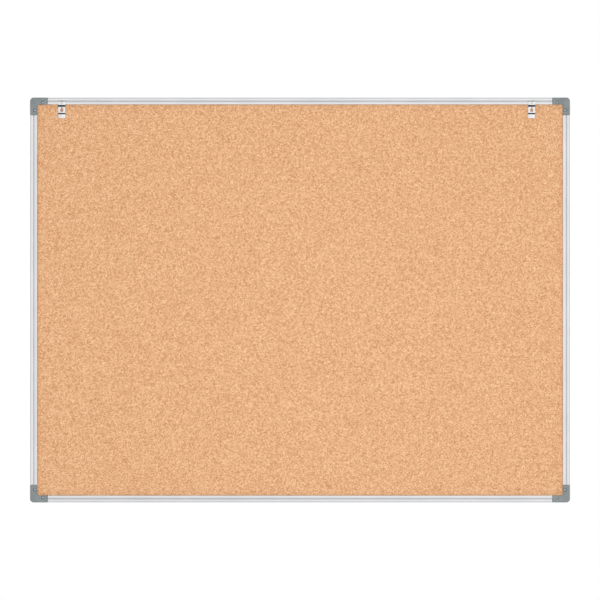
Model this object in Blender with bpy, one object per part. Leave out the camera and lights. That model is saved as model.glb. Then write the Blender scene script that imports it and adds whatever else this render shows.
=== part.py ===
"""Cork bulletin board: aluminium rails, moulded corner caps, layered panel and sliding keyhole hangers.

Metres, +Z up, +X to the right, and the pin-up side faces -Y. The origin is the centre of the whole board.
Rail sections are drawn in (u, v): u runs inward from the rail's outer edge, v runs back from its front face.
"""

import math

import bmesh
import bpy
from mathutils import Matrix, Vector

MM = 0.001

# Overall size, measured over the corner caps
BOARD_WIDTH = 1200.0 * MM
BOARD_HEIGHT = 900.0 * MM

# Clearance between pieces that meet
GAP = 0.3 * MM

# Panel layers, front to back
CORK_THICKNESS = 2.5 * MM
CORE_THICKNESS = 4.3 * MM
BACKING_THICKNESS = 2.0 * MM

# Rail section
RAIL_FACE = 15.0 * MM
RAIL_WALL = 1.2 * MM
LIP_DEPTH = 4.0 * MM
CHANNEL_WALL = 0.9 * MM
GROOVE_OFF_MIDDLE = 0.2 * MM
GROOVE_DEPTH = 2.9 * MM
RAIL_OUTER_ROUND = 1.0 * MM
RAIL_LIP_ROUND = 0.6 * MM

# Corner caps
CAP_LEG = 39.0 * MM
CAP_PROUD = 0.5 * MM
CAP_FACE_PROUD = 1.5 * MM
CAP_PLATE = 2.2 * MM
CAP_LIP_WALL = 1.2 * MM
CAP_CORNER_ROUND = 8.0 * MM
CAP_INNER_ROUND = 2.5 * MM
CAP_EDGE_ROUND = 0.6 * MM
BOSS_WALL = 1.2 * MM

# Corner keys
KEY_REACH = 32.0 * MM
KEY_TIP_ROUND = 1.2 * MM
KEY_HOLE_DIAMETER = 6.0 * MM

# Cap screws
SCREW_ALONG = 28.0 * MM
SCREW_HEAD_DIAMETER = 5.2 * MM
SCREW_HEAD_HEIGHT = 2.0 * MM
SCREW_HEAD_CROWN = 0.8 * MM
SCREW_SHANK_DIAMETER = 2.6 * MM
SCREW_POINT = 1.6 * MM
SCREW_BITE = 2.2 * MM
COUNTERBORE_CLEARANCE = 0.8 * MM
COUNTERBORE_DEPTH = 3.2 * MM

# Keyhole hangers
CLIP_STEEL = 1.0 * MM
CLIP_WIDTH = 16.0 * MM
CLIP_LEFT_INSET = 70.0 * MM
CLIP_RIGHT_INSET = 85.0 * MM
CLIP_PAST_LIP = 0.6 * MM
CLIP_STEP_RUN = 4.5 * MM
CLIP_PLATE_SINK = 0.9 * MM
CLIP_PLATE_LENGTH = 13.4 * MM
CLIP_LOWER_STEP_RUN = 2.7 * MM
CLIP_TONGUE_LENGTH = 8.8 * MM
CLIP_TONGUE_ROUND = 2.0 * MM
CLIP_PRONG_CLEARANCE = 0.4 * MM
CLIP_SLIT = 1.4 * MM
CLIP_RELIEF_DIAMETER = 2.8 * MM
CLIP_RELIEF_DROP = 4.8 * MM
KEYHOLE_DIAMETER = 7.0 * MM
KEYHOLE_SLOT = 3.6 * MM
KEYHOLE_DROP = 7.6 * MM
KEYHOLE_REACH = 5.0 * MM

# Worked out from the sizes above
COUNTERBORE_DIAMETER = SCREW_HEAD_DIAMETER + 2 * COUNTERBORE_CLEARANCE
GROOVE_WIDTH = CLIP_STEEL + 2 * GAP
GROOVE_INSET = RAIL_FACE / 2 - GROOVE_OFF_MIDDLE
WEB_INNER = GROOVE_INSET - GROOVE_WIDTH / 2
WEB_OUTER = WEB_INNER - CHANNEL_WALL
CHANNEL_INNER = GROOVE_INSET + GROOVE_WIDTH / 2 + CHANNEL_WALL
STACK = CORK_THICKNESS + CORE_THICKNESS + BACKING_THICKNESS + 2 * GAP
RAIL_DEPTH = STACK + 2 * (LIP_DEPTH + GAP)
CAP_WIDTH = CAP_PROUD + RAIL_FACE
CAP_DEPTH = RAIL_DEPTH + 2 * CAP_FACE_PROUD
RAIL_SETBACK = CAP_LEG + GAP
PANEL_INSET = CAP_PROUD + WEB_INNER + GAP
PANEL_WIDTH = BOARD_WIDTH - 2 * PANEL_INSET
PANEL_HEIGHT = BOARD_HEIGHT - 2 * PANEL_INSET
RAIL_FRONT_Y = -RAIL_DEPTH / 2
CAP_FRONT_Y = -CAP_DEPTH / 2
SLOT_FRONT_Y = RAIL_FRONT_Y + LIP_DEPTH
CORK_FRONT_Y = SLOT_FRONT_Y + GAP
CORE_FRONT_Y = CORK_FRONT_Y + CORK_THICKNESS + GAP
BACKING_FRONT_Y = CORE_FRONT_Y + CORE_THICKNESS + GAP
SLOT_BACK_Y = -SLOT_FRONT_Y
SCREW_HOLE_RADIUS = SCREW_SHANK_DIAMETER / 2 + GAP
SCREW_ACROSS = CAP_PROUD + (WEB_INNER + RAIL_FACE - CAP_LIP_WALL) / 2
SCREW_TIP_Y = SLOT_BACK_Y + SCREW_BITE
CAP_SCREW_SPOTS = ((SCREW_ALONG, -SCREW_ACROSS), (SCREW_ACROSS, -SCREW_ALONG))

ARC_STEPS = 6
ROUND_SIDES = 24
CUT_MARGIN = 1.0 * MM

# Each corner's side in X and Z, and the quarter turns about +Y that bring the top left corner there
CORNERS = {
    "top_left": (-1, 1, 0),
    "top_right": (1, 1, 1),
    "bottom_right": (1, -1, 2),
    "bottom_left": (-1, -1, 3),
}


def linear(value):
    """One sRGB channel from 0 to 255 as a linear number."""
    share = value / 255
    return share / 12.92 if share <= 0.04045 else ((share + 0.055) / 1.055) ** 2.4


def material(name, colour, roughness, metallic=0.0):
    """A Principled material with an sRGB colour, shared by the pieces of the same stock."""
    made = bpy.data.materials.get(name)
    if made is None:
        made = bpy.data.materials.new(name)
        made.use_nodes = True
        shader = made.node_tree.nodes["Principled BSDF"]
        shader.inputs["Base Color"].default_value = (*[linear(c) for c in colour], 1.0)
        shader.inputs["Roughness"].default_value = roughness
        shader.inputs["Metallic"].default_value = metallic
    return made


def link(name, bm, stock=None):
    """Turn a finished bmesh into a scene object with its material and shading."""
    bmesh.ops.recalc_face_normals(bm, faces=bm.faces[:])
    mesh = bpy.data.meshes.new(name)
    bm.to_mesh(mesh)
    bm.free()
    mesh.shade_smooth()
    mesh.set_sharp_from_angle(angle=math.radians(35))
    if stock:
        mesh.materials.append(stock)
    made = bpy.data.objects.new(name, mesh)
    bpy.context.collection.objects.link(made)
    return made


def rounded_corner(before, corner, after, radius):
    """Points of the arc that rounds one corner between its two neighbours."""
    if radius == 0:
        return [corner]
    back = (before - corner).normalized()
    ahead = (after - corner).normalized()
    half = back.angle(ahead) / 2
    centre = corner + (back + ahead).normalized() * radius / math.sin(half)
    first = corner + back * radius / math.tan(half) - centre
    last = corner + ahead * radius / math.tan(half) - centre
    sweep = math.atan2(first.x * last.y - first.y * last.x, first.dot(last))
    return [centre + Matrix.Rotation(sweep * k / ARC_STEPS, 2) @ first for k in range(ARC_STEPS + 1)]


def outline(corners):
    """A closed loop of 2-D points from (a, b, radius) corners."""
    points = [Vector((a, b)) for a, b, _ in corners]
    loop = []
    for i, (_, _, radius) in enumerate(corners):
        loop += rounded_corner(points[i - 1], points[i], points[(i + 1) % len(points)], radius)
    return loop


def extruded(name, loops, low, high, place, stock=None):
    """A solid with the first loop outside and the others as holes, from low to high along its length."""
    bm = bmesh.new()
    rings = [[bm.verts.new(place(point.x, point.y, low)) for point in loop] for loop in loops]
    if len(rings) == 1:
        bm.faces.new(rings[0])
    else:
        edges = [bm.edges.new((vert, ring[i - 1])) for ring in rings for i, vert in enumerate(ring)]
        bmesh.ops.triangle_fill(bm, use_beauty=True, use_dissolve=False, edges=edges)
    made = bmesh.ops.extrude_face_region(bm, geom=bm.faces[:])["geom"]
    moved = [item for item in made if isinstance(item, bmesh.types.BMVert)]
    bmesh.ops.translate(bm, verts=moved, vec=Vector(place(0, 0, high)) - Vector(place(0, 0, low)))
    return link(name, bm, stock)


def along_x(u, v, length):
    """Section point of a piece that runs along X, with its outer edge up."""
    return (length, v, -u)


def facing_front(a, b, depth):
    """Point of a piece drawn as seen from the front: a to the right, b downward."""
    return (a, depth, -b)


def turned(name, profile, stock=None, spots=((0, 0),)):
    """Solids turned about a line along Y at each (x, z) spot, from (radius, depth) points that end on it."""
    bm = bmesh.new()
    for x, z in spots:
        verts = [bm.verts.new((x + radius, depth, z)) for radius, depth in profile]
        edges = [bm.edges.new(pair) for pair in zip(verts, verts[1:])]
        bmesh.ops.spin(
            bm,
            geom=verts + edges,
            cent=(x, 0, z),
            axis=(0, 1, 0),
            angle=math.tau,
            steps=ROUND_SIDES,
            use_merge=True,
        )
    bmesh.ops.remove_doubles(bm, verts=bm.verts[:], dist=1e-6)
    return link(name, bm, stock)


def add_rod(bm, radius, length, place):
    """Add a closed round rod to a bmesh, along its own Z before it is placed."""
    bmesh.ops.create_cone(
        bm,
        cap_ends=True,
        segments=ROUND_SIDES,
        radius1=radius,
        radius2=radius,
        depth=length,
        matrix=place,
    )


def rods(name, spots, radius, front, back):
    """A cutter of round rods along Y, one at each (x, z) spot."""
    bm = bmesh.new()
    for x, z in spots:
        place = Matrix.Translation((x, (front + back) / 2, z)) @ Matrix.Rotation(math.pi / 2, 4, "X")
        add_rod(bm, radius, back - front, place)
    return link(name, bm)


def apply_cutter(target, cutter, operation="DIFFERENCE"):
    """Cut one object with another, which stays in the file as a wire guide."""
    cut = target.modifiers.new(cutter.name, "BOOLEAN")
    cut.operation = operation
    cut.solver = "EXACT"
    cut.object = cutter
    cutter.hide_render = True
    cutter.display_type = "WIRE"


def corner_place(name):
    """Location and turn that bring a piece drawn for the top left corner to the named corner."""
    side, level, quarters = CORNERS[name]
    return Vector((side * BOARD_WIDTH / 2, 0, level * BOARD_HEIGHT / 2)), quarters * math.pi / 2


def corner_spot(name, along, across):
    """World (x, z) of a point measured inward from a corner's two outer edges."""
    location, turn = corner_place(name)
    spot = location + Matrix.Rotation(turn, 3, "Y") @ Vector((along, 0, -across))
    return spot.x, spot.z


def screw_spots():
    """World (x, z) of each cap screw, named after its corner and the leg it goes through."""
    spots = {}
    for corner, (_, _, quarters) in CORNERS.items():
        legs = ("level", "upright") if quarters % 2 == 0 else ("upright", "level")
        spots[f"screw_{corner}_{legs[0]}"] = corner_spot(corner, SCREW_ALONG, SCREW_ACROSS)
        spots[f"screw_{corner}_{legs[1]}"] = corner_spot(corner, SCREW_ACROSS, SCREW_ALONG)
    return spots


def rail_section():
    """Loops of the rail's section: the outside with its two grooves and lips, and the key chamber."""
    far = RAIL_DEPTH
    half = [
        (0, 0, RAIL_OUTER_ROUND),
        (WEB_INNER, 0, 0),
        (WEB_INNER, GROOVE_DEPTH, 0),
        (WEB_INNER + GROOVE_WIDTH, GROOVE_DEPTH, 0),
        (WEB_INNER + GROOVE_WIDTH, 0, 0),
        (RAIL_FACE, 0, RAIL_LIP_ROUND),
        (RAIL_FACE, LIP_DEPTH, 0),
        (RAIL_FACE - RAIL_WALL, LIP_DEPTH, 0),
        (RAIL_FACE - RAIL_WALL, RAIL_WALL, 0),
        (CHANNEL_INNER, RAIL_WALL, 0),
        (CHANNEL_INNER, LIP_DEPTH, 0),
        (WEB_INNER, LIP_DEPTH, 0),
    ]
    outside = half + [(u, far - v, radius) for u, v, radius in reversed(half)]
    chamber = [
        (RAIL_WALL, RAIL_WALL, 0),
        (WEB_OUTER, RAIL_WALL, 0),
        (WEB_OUTER, far - RAIL_WALL, 0),
        (RAIL_WALL, far - RAIL_WALL, 0),
    ]
    return [outline(outside), outline(chamber)]


def build_rails():
    """Four rails of one section, square cut to butt against the corner caps."""
    stock = material("anodised_aluminium", (228, 229, 230), 0.35, 1.0)
    sides = {
        "rail_top": (BOARD_WIDTH, BOARD_HEIGHT, 0),
        "rail_right": (BOARD_HEIGHT, BOARD_WIDTH, 1),
        "rail_bottom": (BOARD_WIDTH, BOARD_HEIGHT, 2),
        "rail_left": (BOARD_HEIGHT, BOARD_WIDTH, 3),
    }
    for name, (span, across, quarters) in sides.items():
        half = span / 2 - RAIL_SETBACK
        rail = extruded(name, rail_section(), -half, half, along_x, stock)
        turn = quarters * math.pi / 2
        outward = Matrix.Rotation(turn, 3, "Y") @ Vector((0, 0, across / 2 - CAP_PROUD))
        rail.location = outward + Vector((0, RAIL_FRONT_Y, 0))
        rail.rotation_euler = (0, turn, 0)


def cap_outline():
    """The cap's L as seen from the front, drawn for the top left corner."""
    return outline(
        [
            (0, 0, CAP_CORNER_ROUND),
            (CAP_LEG, 0, 0),
            (CAP_LEG, CAP_WIDTH, 0),
            (CAP_WIDTH, CAP_WIDTH, CAP_INNER_ROUND),
            (CAP_WIDTH, CAP_LEG, 0),
            (0, CAP_LEG, 0),
        ]
    )


def leg_ring(outer, inner, outer_round, inner_round):
    """An L between two offsets from the corner's outer edges, running out past both leg ends."""
    far = CAP_LEG + CUT_MARGIN
    return outline(
        [
            (outer, outer, outer_round),
            (far, outer, 0),
            (far, inner, 0),
            (inner, inner, inner_round),
            (inner, far, 0),
            (outer, far, 0),
        ]
    )


def cap_chamber(name):
    """Cutter for the key's chamber, which lines up with the chambers of the rails."""
    outer = CAP_PROUD + RAIL_WALL
    ring = leg_ring(outer, CAP_PROUD + WEB_OUTER, CAP_CORNER_ROUND - outer, 0)
    return extruded(name, [ring], RAIL_FRONT_Y + RAIL_WALL, -RAIL_FRONT_Y - RAIL_WALL, facing_front)


def cap_slot(name):
    """Cutter for the slot that takes the panel's corner, level with the rails' slots."""
    near = CAP_PROUD + WEB_INNER
    far = CAP_LEG + CUT_MARGIN
    corner = outline([(near, near, 0), (far, near, 0), (far, far, 0), (near, far, 0)])
    return extruded(name, [corner], SLOT_FRONT_Y, SLOT_BACK_Y, facing_front)


def cap_hollow(name, low, high, boss_radius):
    """Cutters that thin the cap between its web and its lip, but for a boss around each screw."""
    inner_round = CAP_INNER_ROUND + CAP_LIP_WALL
    ring = leg_ring(CAP_PROUD + WEB_INNER, CAP_WIDTH - CAP_LIP_WALL, 0, inner_round)
    hollow = extruded(name, [ring], low, high, facing_front)
    margin = CUT_MARGIN / 2
    bosses = rods(f"{name}_bosses", CAP_SCREW_SPOTS, boss_radius, low - margin, high + margin)
    apply_cutter(hollow, bosses)
    return hollow, bosses


def cap_screw_holes(name):
    """Cutter for the two screw holes: a flat counterbore over a hole that ends in the back boss."""
    wide = COUNTERBORE_DIAMETER / 2
    seat_y = CAP_FRONT_Y + COUNTERBORE_DEPTH
    profile = [
        (0, CAP_FRONT_Y - CUT_MARGIN),
        (wide, CAP_FRONT_Y - CUT_MARGIN),
        (wide, seat_y),
        (SCREW_HOLE_RADIUS, seat_y),
        (SCREW_HOLE_RADIUS, SCREW_TIP_Y + GAP),
        (0, SCREW_TIP_Y + GAP),
    ]
    return turned(name, profile, spots=CAP_SCREW_SPOTS)


def build_caps():
    """Four moulded corners that hold the rails in line; the outer edges are softened."""
    stock = material("grey_abs", (146, 150, 151), 0.5)
    floor_y = CAP_FRONT_Y + CAP_PLATE
    for corner in CORNERS:
        location, turn = corner_place(corner)
        cap = extruded(
            f"corner_cap_{corner}", [cap_outline()], CAP_FRONT_Y, -CAP_FRONT_Y, facing_front, stock
        )
        edge = cap.modifiers.new("softened_edges", "BEVEL")
        edge.width = CAP_EDGE_ROUND
        edge.segments = 3
        edge.limit_method = "ANGLE"
        edge.angle_limit = math.radians(60)
        front_hollow, front_bosses = cap_hollow(
            f"{cap.name}_front_hollow",
            floor_y,
            SLOT_FRONT_Y + CUT_MARGIN,
            COUNTERBORE_DIAMETER / 2 + BOSS_WALL,
        )
        back_hollow, back_bosses = cap_hollow(
            f"{cap.name}_back_hollow",
            SLOT_BACK_Y - CUT_MARGIN,
            -floor_y,
            SCREW_HOLE_RADIUS + BOSS_WALL,
        )
        cutters = [
            cap_chamber(f"{cap.name}_chamber"),
            cap_slot(f"{cap.name}_slot"),
            front_hollow,
            back_hollow,
            cap_screw_holes(f"{cap.name}_screw_holes"),
        ]
        for cutter in cutters:
            apply_cutter(cap, cutter)
        for piece in (cap, *cutters, front_bosses, back_bosses):
            piece.location = location
            piece.rotation_euler = (0, turn, 0)


def build_keys():
    """Four L-shaped keys that run through a cap's chamber into the chambers of both its rails."""
    stock = material("black_nylon", (38, 39, 41), 0.55)
    outer = CAP_PROUD + RAIL_WALL + GAP
    inner = CAP_PROUD + WEB_OUTER - GAP
    reach = RAIL_SETBACK + KEY_REACH
    shape = [
        (outer, outer, CAP_CORNER_ROUND - outer),
        (reach, outer, KEY_TIP_ROUND),
        (reach, inner, KEY_TIP_ROUND),
        (inner, inner, 0),
        (inner, reach, KEY_TIP_ROUND),
        (outer, reach, KEY_TIP_ROUND),
    ]
    half_depth = RAIL_DEPTH / 2 - RAIL_WALL - GAP
    hole_at = RAIL_SETBACK + KEY_REACH / 2
    for corner in CORNERS:
        location, turn = corner_place(corner)
        key = extruded(
            f"corner_key_{corner}", [outline(shape)], -half_depth, half_depth, facing_front, stock
        )
        bm = bmesh.new()
        add_rod(bm, KEY_HOLE_DIAMETER / 2, 2 * CAP_WIDTH, Matrix.Translation((hole_at, 0, 0)))
        across = Matrix.Translation((0, 0, -hole_at)) @ Matrix.Rotation(math.pi / 2, 4, "Y")
        add_rod(bm, KEY_HOLE_DIAMETER / 2, 2 * CAP_WIDTH, across)
        lightening = link(f"{key.name}_holes", bm)
        apply_cutter(key, lightening)
        for piece in (key, lightening):
            piece.location = location
            piece.rotation_euler = (0, turn, 0)


def build_panel():
    """Cork, core and backing of one size, drilled near each corner for the cap screws."""
    spots = list(screw_spots().values())
    layers = (
        ("cork_sheet", CORK_FRONT_Y, CORK_THICKNESS, material("cork", (231, 178, 134), 0.9)),
        ("core_board", CORE_FRONT_Y, CORE_THICKNESS, material("softboard", (186, 160, 122), 0.95)),
        ("backing_sheet", BACKING_FRONT_Y, BACKING_THICKNESS, material("hardboard", (140, 96, 62), 0.7)),
    )
    for name, front, thickness, stock in layers:
        bm = bmesh.new()
        size = Matrix.Diagonal((PANEL_WIDTH, thickness, PANEL_HEIGHT, 1))
        middle = Matrix.Translation((0, front + thickness / 2, 0))
        bmesh.ops.create_cube(bm, size=1, matrix=middle @ size)
        layer = link(name, bm, stock)
        low, high = front - CUT_MARGIN, front + thickness + CUT_MARGIN
        apply_cutter(layer, rods(f"{name}_drill", spots, SCREW_HOLE_RADIUS, low, high))


def build_screws():
    """Eight pan-head screws, each seated in its counterbore and ending in the cap's back boss."""
    stock = material("zinc_plated_steel", (196, 198, 200), 0.3, 1.0)
    head = SCREW_HEAD_DIAMETER / 2
    shank = SCREW_SHANK_DIAMETER / 2
    seat = COUNTERBORE_DEPTH - GAP
    top = seat - SCREW_HEAD_HEIGHT
    length = SCREW_TIP_Y - CAP_FRONT_Y
    profile = [
        (0, top),
        (head - SCREW_HEAD_CROWN, top),
        (head, top + SCREW_HEAD_CROWN),
        (head, seat),
        (shank, seat),
        (shank, length - SCREW_POINT),
        (shank / 4, length),
        (0, length),
    ]
    for name, (x, z) in screw_spots().items():
        screw = turned(name, profile, stock)
        screw.location = (x, CAP_FRONT_Y, z)


def clip_path():
    """Middle line of the hanger's steel in (drop, v), from the prong's tip to the tongue's end."""
    saddle = -GAP - CLIP_STEEL / 2
    plate = CLIP_PLATE_SINK + CLIP_STEEL / 2
    tongue = LIP_DEPTH - CLIP_STEEL / 2
    step = RAIL_FACE - GROOVE_INSET + CLIP_PAST_LIP
    plate_top = step + CLIP_STEP_RUN
    plate_end = plate_top + CLIP_PLATE_LENGTH
    tongue_top = plate_end + CLIP_LOWER_STEP_RUN
    return [
        (0, GROOVE_DEPTH - CLIP_PRONG_CLEARANCE),
        (0, saddle),
        (step, saddle),
        (plate_top, plate),
        (plate_end, plate),
        (tongue_top, tongue),
        (tongue_top + CLIP_TONGUE_LENGTH, tongue),
    ]


def strip_outline(path, thickness, radius):
    """Outline of a bent strip with the given middle line and middle bend radius."""
    points = [Vector(point) for point in path]
    middle = [points[0]]
    for before, corner, after in zip(points, points[1:], points[2:]):
        middle += rounded_corner(before, corner, after, radius)
    middle.append(points[-1])
    headings = [(b - a).normalized() for a, b in zip(middle, middle[1:])]
    headings = [headings[0]] + [(a + b).normalized() for a, b in zip(headings, headings[1:])] + [headings[-1]]
    offsets = [Vector((-heading.y, heading.x)) * thickness / 2 for heading in headings]
    near = [point + offset for point, offset in zip(middle, offsets)]
    far = [point - offset for point, offset in zip(middle, offsets)]
    return near + far[::-1]


def slotted_hole(drop, radius, slot):
    """Arc of a round hole from one side of the slot that leaves its top, round to the other side."""
    opening = math.asin(slot / 2 / radius)
    step = (math.tau - 2 * opening) / ROUND_SIDES
    centre = Vector((0, drop))
    first = Vector((0, -radius))
    return [centre + Matrix.Rotation(opening + step * k, 2) @ first for k in range(ROUND_SIDES + 1)]


def clip_plan():
    """Loops of the hanger seen from the front: the slit blank and its keyhole."""
    path = clip_path()
    half = CLIP_WIDTH / 2
    top = -CLIP_STEEL - CUT_MARGIN
    end = path[-1][0]
    keyhole_drop = path[3][0] + KEYHOLE_DROP
    relief = slotted_hole(CLIP_RELIEF_DROP, CLIP_RELIEF_DIAMETER / 2, CLIP_SLIT)
    right_top, right_end = Vector((half, top)), Vector((half, end))
    left_top, left_end = Vector((-half, top)), Vector((-half, end))
    blank = [right_top]
    blank += rounded_corner(right_top, right_end, left_end, CLIP_TONGUE_ROUND)
    blank += rounded_corner(right_end, left_end, left_top, CLIP_TONGUE_ROUND)
    blank += [left_top, Vector((-CLIP_SLIT / 2, top))]
    blank += relief[::-1]
    blank.append(Vector((CLIP_SLIT / 2, top)))
    keyhole = slotted_hole(keyhole_drop, KEYHOLE_DIAMETER / 2, KEYHOLE_SLOT)
    slot_top = Vector((0, keyhole_drop - KEYHOLE_REACH))
    side = Vector((-KEYHOLE_SLOT / 2, 0))
    keyhole += [slot_top + Matrix.Rotation(math.pi * k / ARC_STEPS, 2) @ side for k in range(ARC_STEPS + 1)]
    return [blank, keyhole]


def build_clips():
    """Two keyhole hangers, each with its origin on the groove's line, along which it slides."""
    stock = material("bright_steel", (214, 215, 216), 0.22, 1.0)
    half = CLIP_WIDTH / 2 + CUT_MARGIN
    strip = strip_outline(clip_path(), CLIP_STEEL, GAP + CLIP_STEEL / 2)
    groove_z = BOARD_HEIGHT / 2 - CAP_PROUD - GROOVE_INSET
    left_x = -BOARD_WIDTH / 2 + CLIP_LEFT_INSET
    right_x = BOARD_WIDTH / 2 - CLIP_RIGHT_INSET
    for name, x in (("hanger_clip_left", left_x), ("hanger_clip_right", right_x)):
        clip = extruded(name, [strip], -half, half, along_x, stock)
        blank = extruded(f"{name}_blank", clip_plan(), -RAIL_DEPTH, RAIL_DEPTH, facing_front)
        apply_cutter(clip, blank, "INTERSECT")
        for piece in (clip, blank):
            piece.location = (x, RAIL_FRONT_Y, groove_z)


def build_board():
    """The whole board, from an empty scene."""
    for old in list(bpy.data.objects):
        bpy.data.objects.remove(old, do_unlink=True)
    build_rails()
    build_caps()
    build_keys()
    build_panel()
    build_screws()
    build_clips()


build_board()
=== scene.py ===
"""Looks of a cork notice board in a grooved aluminium frame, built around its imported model."""

import math

import bmesh
import bpy
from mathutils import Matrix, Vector


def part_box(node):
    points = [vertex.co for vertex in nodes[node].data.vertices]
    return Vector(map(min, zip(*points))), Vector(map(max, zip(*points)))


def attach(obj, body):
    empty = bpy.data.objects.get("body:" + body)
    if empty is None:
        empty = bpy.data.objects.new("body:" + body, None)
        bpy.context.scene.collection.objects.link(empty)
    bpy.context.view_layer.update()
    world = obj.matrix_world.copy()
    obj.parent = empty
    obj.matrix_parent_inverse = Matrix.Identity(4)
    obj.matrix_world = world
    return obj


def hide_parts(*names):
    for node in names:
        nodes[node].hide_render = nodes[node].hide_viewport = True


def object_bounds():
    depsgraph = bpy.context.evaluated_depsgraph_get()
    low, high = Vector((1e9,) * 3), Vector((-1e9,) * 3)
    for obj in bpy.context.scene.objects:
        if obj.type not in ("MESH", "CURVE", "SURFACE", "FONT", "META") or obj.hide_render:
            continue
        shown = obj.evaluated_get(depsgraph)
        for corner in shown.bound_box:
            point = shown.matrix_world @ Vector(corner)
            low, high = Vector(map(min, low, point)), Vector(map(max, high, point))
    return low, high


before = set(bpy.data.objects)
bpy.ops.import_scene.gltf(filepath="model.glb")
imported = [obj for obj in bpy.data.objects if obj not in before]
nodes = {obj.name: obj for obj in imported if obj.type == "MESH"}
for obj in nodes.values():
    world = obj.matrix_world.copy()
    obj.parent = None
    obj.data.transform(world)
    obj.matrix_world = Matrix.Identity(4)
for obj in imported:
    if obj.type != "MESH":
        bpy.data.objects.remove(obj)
cad_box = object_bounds()
bpy.ops.object.select_all(action="DESELECT")


# Frame rails. Four lengths of one extruded 6063 aluminium section, with a groove along each face, a
# chamber for the corner keys and a slot for the panel. The die leaves faint lines along the length,
# and the rails are sawn square, etched and clear anodised to a satin skin.

MM = 0.001
RAIL_WALL = 1.2 * MM
WEB_OUTER = 5.6 * MM
WEB_INNER = 6.5 * MM
GROOVE_WIDTH = 1.6 * MM
GROOVE_DEPTH = 2.9 * MM
CHANNEL_WALL = 0.9 * MM
LIP_DEPTH = 4.0 * MM
RAIL_ARRIS = 0.2 * MM
RAIL_OUTER_ROUND = 1.0 * MM
RAIL_LIP_ROUND = 0.6 * MM
DIE_LINE_PITCH = 0.9 * MM
DIE_LINE_LENGTHEN = 0.003
NEAR = 0.01 * MM


def colour(code):
    """An sRGB hex colour as linear RGBA."""
    channels = [int(code[k : k + 2], 16) / 255 for k in (1, 3, 5)]
    return (*[c / 12.92 if c <= 0.04045 else ((c + 0.055) / 1.055) ** 2.4 for c in channels], 1.0)


def add(tree, kind, inputs=None, **settings):
    """Adds one node with its settings, and links or fills its inputs."""
    made = tree.nodes.new(f"ShaderNode{kind}")
    for name, value in settings.items():
        setattr(made, name, value)
    for name, value in (inputs or {}).items():
        if isinstance(value, bpy.types.NodeSocket):
            tree.links.new(value, made.inputs[name])
        else:
            made.inputs[name].default_value = value
    return made


def blank_material(name):
    """A new material, its node tree, its shader, and the piece's own coordinates in metres."""
    made = bpy.data.materials.new(name)
    made.use_nodes = True
    tree = made.node_tree
    return made, tree, tree.nodes["Principled BSDF"], add(tree, "TexCoord").outputs["Object"]


def dress(piece, made):
    """Gives a piece one material in place of what it had."""
    piece.data.materials.clear()
    piece.data.materials.append(made)


def select_only(kind, wanted):
    """In edit mode, selects just the faces, edges or verts that the test wants."""
    bpy.ops.mesh.select_mode(type=kind)
    bpy.ops.mesh.select_all(action="DESELECT")
    piece = bpy.context.object
    mesh = bmesh.from_edit_mesh(piece.data)
    items = {"FACE": mesh.faces, "EDGE": mesh.edges, "VERT": mesh.verts}[kind]
    for item in items:
        if wanted(item):
            item.select_set(True)
    mesh.select_flush_mode()
    bmesh.update_edit_mesh(piece.data)


def saw(normal, *places):
    """In edit mode, divides the whole mesh by planes at these places along a normal."""
    for place in places:
        bpy.ops.mesh.select_all(action="SELECT")
        bpy.ops.mesh.bisect(plane_co=Vector(normal) * place, plane_no=normal)


def extrude(x=0.0, y=0.0, z=0.0):
    """In edit mode, extrudes what is selected by this much."""
    bpy.ops.mesh.extrude_region_move(TRANSFORM_OT_translate={"value": (x, y, z)})


def flat_sheet(name, size, place, rotation):
    """Adds a flat rectangle of this size, turned and at its place, and opens it in edit mode."""
    bpy.ops.mesh.primitive_plane_add(size=1, location=place, rotation=rotation)
    piece = bpy.context.object
    piece.name = piece.data.name = name
    piece.scale = (*size, 1)
    bpy.ops.object.transform_apply(location=True, rotation=True, scale=True)
    bpy.ops.object.mode_set(mode="EDIT")
    return piece


def turn_about_y(piece, angle, place=(0, 0, 0)):
    """Turns a piece about the Y axis and moves it, and leaves its object at the origin."""
    bpy.ops.object.select_all(action="DESELECT")
    piece.select_set(True)
    bpy.context.view_layer.objects.active = piece
    piece.rotation_euler = (0, angle, 0)
    piece.location = place
    bpy.ops.object.transform_apply(location=True, rotation=True, scale=True)


def smooth_by_angle(piece, degrees=30):
    """Shades a piece smooth but for edges sharper than this, with flat faces kept flat."""
    bpy.ops.object.select_all(action="DESELECT")
    piece.select_set(True)
    bpy.context.view_layer.objects.active = piece
    bpy.ops.object.shade_smooth_by_angle(angle=math.radians(degrees))


def stand_for(piece, node, body, stock):
    """Dresses a piece, sets it on its body and puts it in place of its plain CAD node."""
    dress(piece, stock)
    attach(piece, body)
    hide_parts(node)


def cut_section_cells(reach, half_depth):
    """Divides the flat section into cells and deletes the empty ones."""
    far_wall = WEB_INNER + GROOVE_WIDTH + CHANNEL_WALL
    pocket_end = face_width - RAIL_WALL
    across = [RAIL_WALL, WEB_OUTER, WEB_INNER, WEB_INNER + GROOVE_WIDTH, far_wall, pocket_end]
    saw((0, 0, 1), *[reach - u for u in across])
    deep = [half_depth - d for d in (RAIL_WALL, GROOVE_DEPTH, LIP_DEPTH)]
    saw((0, 1, 0), *deep, *[-d for d in deep])

    def empty(face):
        centre = face.calc_center_median()
        u, v = reach - centre.z, half_depth - abs(centre.y)
        groove = WEB_INNER < u < WEB_INNER + GROOVE_WIDTH and v < GROOVE_DEPTH
        slot = u > WEB_INNER and v > LIP_DEPTH
        pocket = far_wall < u < pocket_end and v > RAIL_WALL
        chamber = RAIL_WALL < u < WEB_OUTER and v > RAIL_WALL
        return groove or slot or pocket or chamber

    select_only("FACE", empty)
    bpy.ops.mesh.delete(type="FACE")
    bpy.ops.mesh.select_all(action="SELECT")
    bpy.ops.mesh.dissolve_limited(angle_limit=math.radians(1))


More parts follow.
